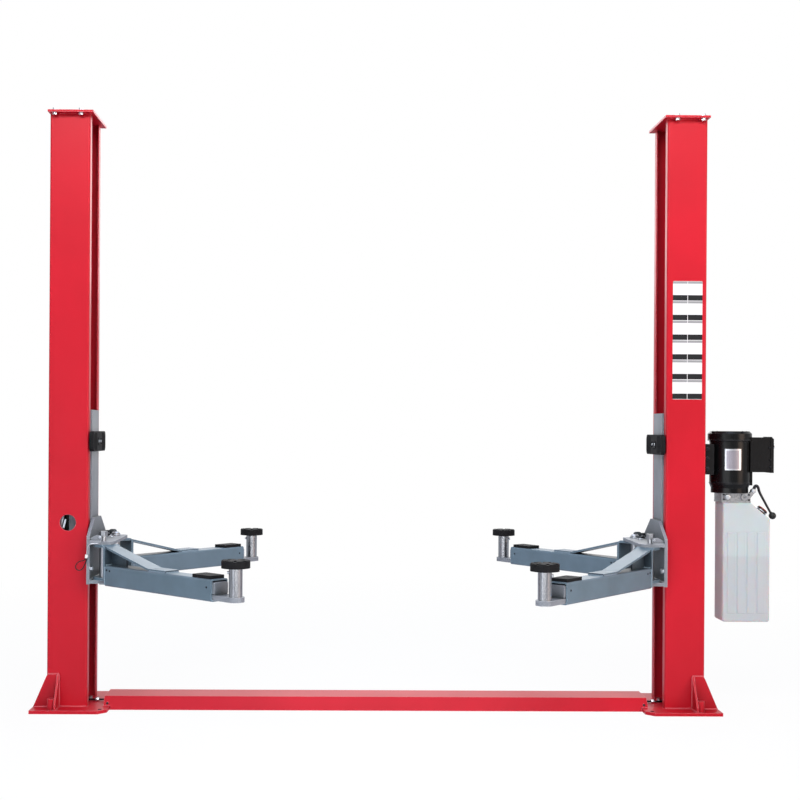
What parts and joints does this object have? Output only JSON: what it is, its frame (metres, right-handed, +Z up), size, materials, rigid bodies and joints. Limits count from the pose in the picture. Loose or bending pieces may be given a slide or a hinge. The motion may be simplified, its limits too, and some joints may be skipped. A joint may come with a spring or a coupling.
{
  "type": "two post car lift",
  "caption": "Floor-plate two-post car lift: C-section posts, coupled sliding carriages, swing arms with telescoping extensions and screw pads, and a motor pump with its oil tank.",
  "frame": {"origin": "on the floor, midway between the two posts, at the centre of the outer anchor holes", "axes": "+X from the left post to the right post, +Y away from the viewer, +Z up"},
  "size_m": [3.5495, 1.9112, 2.83],
  "materials": {
    "black_plastic": "matt",
    "black_rubber": "matt",
    "blue_grey_paint": "satin",
    "cast_aluminium": "cast",
    "chrome_rod": "polished",
    "dark_paint": "satin",
    "grey_paint": "satin",
    "machined_steel": "brushed",
    "motor_paint": "satin",
    "oiled_steel": "oiled",
    "red_paint": "gloss",
    "slide_nylon": "matt",
    "steel_wire": "stranded",
    "switch_plastic": "matt",
    "tank_plastic": "translucent",
    "white_plastic": "matt",
    "zinc_plate": "zinc plated"
  },
  "bodies": {
    "frame": {"left_post": "red_paint", "left_base_plate": "red_paint", "left_cap_plate": "red_paint", "left_cylinder_barrel": "dark_paint", "left_ram": "chrome_rod", "left_chain_wheel": "machined_steel", "left_lift_chain": "oiled_steel", "left_lock_latch": "zinc_plate", "right_post": "red_paint", "right_base_plate": "red_paint", "right_cap_plate": "red_paint", "right_cylinder_barrel": "dark_paint", "right_ram": "chrome_rod", "right_chain_wheel": "machined_steel", "right_lift_chain": "oiled_steel", "right_lock_latch": "zinc_plate", "floor_cover": "red_paint", "unit_bracket": "dark_paint", "motor": "motor_paint", "switch_box": "switch_plastic", "valve_block": "cast_aluminium", "oil_tank": "tank_plastic", "filler_cap": "black_plastic"},
    "left_carriage_group": {"left_carriage": "grey_paint", "left_slide_blocks": "slide_nylon", "left_door_guard": "black_rubber", "left_pivot_pins": "machined_steel", "pull_wire": "steel_wire", "wire_ferrule": "white_plastic", "pull_loop": "black_plastic"},
    "right_carriage_group": {"right_carriage": "grey_paint", "right_slide_blocks": "slide_nylon", "right_door_guard": "black_rubber", "right_pivot_pins": "machined_steel"},
    "left_front_arm_group": {"left_front_arm": "blue_grey_paint", "left_front_arm_pad": "black_rubber"},
    "left_front_extension_group": {"left_front_extension": "grey_paint", "left_front_pad_post": "zinc_plate"},
    "left_front_pad_group": {"left_front_lift_pad": "black_rubber"},
    "left_rear_arm_group": {"left_rear_arm": "blue_grey_paint", "left_rear_arm_pad": "black_rubber"},
    "left_rear_extension_group": {"left_rear_extension": "grey_paint", "left_rear_pad_post": "zinc_plate"},
    "left_rear_pad_group": {"left_rear_lift_pad": "black_rubber"},
    "right_front_arm_group": {"right_front_arm": "blue_grey_paint", "right_front_arm_pad": "black_rubber"},
    "right_front_extension_group": {"right_front_extension": "grey_paint", "right_front_pad_post": "zinc_plate"},
    "right_front_pad_group": {"right_front_lift_pad": "black_rubber"},
    "right_rear_arm_group": {"right_rear_arm": "blue_grey_paint", "right_rear_arm_pad": "black_rubber"},
    "right_rear_extension_group": {"right_rear_extension": "grey_paint", "right_rear_pad_post": "zinc_plate"},
    "right_rear_pad_group": {"right_rear_lift_pad": "black_rubber"},
    "lever": {"release_lever": "machined_steel"}
  },
  "joints": [
    {"name": "left_carriage_lift", "type": "slide", "parent": "frame", "child": "left_carriage_group", "axis": [0, 0, 1], "range_m": [-0.5, 1.1]},
    {"name": "right_carriage_lift", "type": "slide", "parent": "frame", "child": "right_carriage_group", "axis": [0, 0, 1], "range_m": [-0.5, 1.1]},
    {"name": "left_front_arm_swing", "type": "hinge", "parent": "left_carriage_group", "child": "left_front_arm_group", "pos_m": [-1.29, -0.16, 0.7], "axis": [0, 0, 1], "range_deg": [-51.1, 35.9]},
    {"name": "left_front_extension_slide", "type": "slide", "parent": "left_front_arm_group", "child": "left_front_extension_group", "axis": [0.7206, -0.6934, 0], "range_m": [-0.065, 0.25]},
    {"name": "left_front_pad_screw", "type": "slide", "parent": "left_front_extension_group", "child": "left_front_pad_group", "axis": [0, 0, 1], "range_m": [0, 0.06]},
    {"name": "left_rear_arm_swing", "type": "hinge", "parent": "left_carriage_group", "child": "left_rear_arm_group", "pos_m": [-1.29, 0.16, 0.7], "axis": [0, 0, 1], "range_deg": [-40.6, 46.4]},
    {"name": "left_rear_extension_slide", "type": "slide", "parent": "left_rear_arm_group", "child": "left_rear_extension_group", "axis": [0.6613, 0.7501, 0], "range_m": [-0.065, 0.25]},
    {"name": "left_rear_pad_screw", "type": "slide", "parent": "left_rear_extension_group", "child": "left_rear_pad_group", "axis": [0, 0, 1], "range_m": [0, 0.06]},
    {"name": "right_front_arm_swing", "type": "hinge", "parent": "right_carriage_group", "child": "right_front_arm_group", "pos_m": [1.29, -0.16, 0.7], "axis": [0, 0, 1], "range_deg": [-41.3, 45.7]},
    {"name": "right_front_extension_slide", "type": "slide", "parent": "right_front_arm_group", "child": "right_front_extension_group", "axis": [-0.6521, -0.7581, 0], "range_m": [-0.065, 0.25]},
    {"name": "right_front_pad_screw", "type": "slide", "parent": "right_front_extension_group", "child": "right_front_pad_group", "axis": [0, 0, 1], "range_m": [0, 0.06]},
    {"name": "right_rear_arm_swing", "type": "hinge", "parent": "right_carriage_group", "child": "right_rear_arm_group", "pos_m": [1.29, 0.16, 0.7], "axis": [0, 0, 1], "range_deg": [-41.4, 45.6]},
    {"name": "right_rear_extension_slide", "type": "slide", "parent": "right_rear_arm_group", "child": "right_rear_extension_group", "axis": [-0.5934, 0.8049, 0], "range_m": [-0.065, 0.25]},
    {"name": "right_rear_pad_screw", "type": "slide", "parent": "right_rear_extension_group", "child": "right_rear_pad_group", "axis": [0, 0, 1], "range_m": [0, 0.06]},
    {"name": "lowering_lever", "type": "hinge", "parent": "frame", "child": "lever", "pos_m": [1.815, -0.04, 1.049], "axis": [0, -1, 0], "range_deg": [0, 25]}
  ],
  "couplings": [
    {"joint": "right_carriage_lift", "follows": "left_carriage_lift", "ratio": 1}
  ]
}
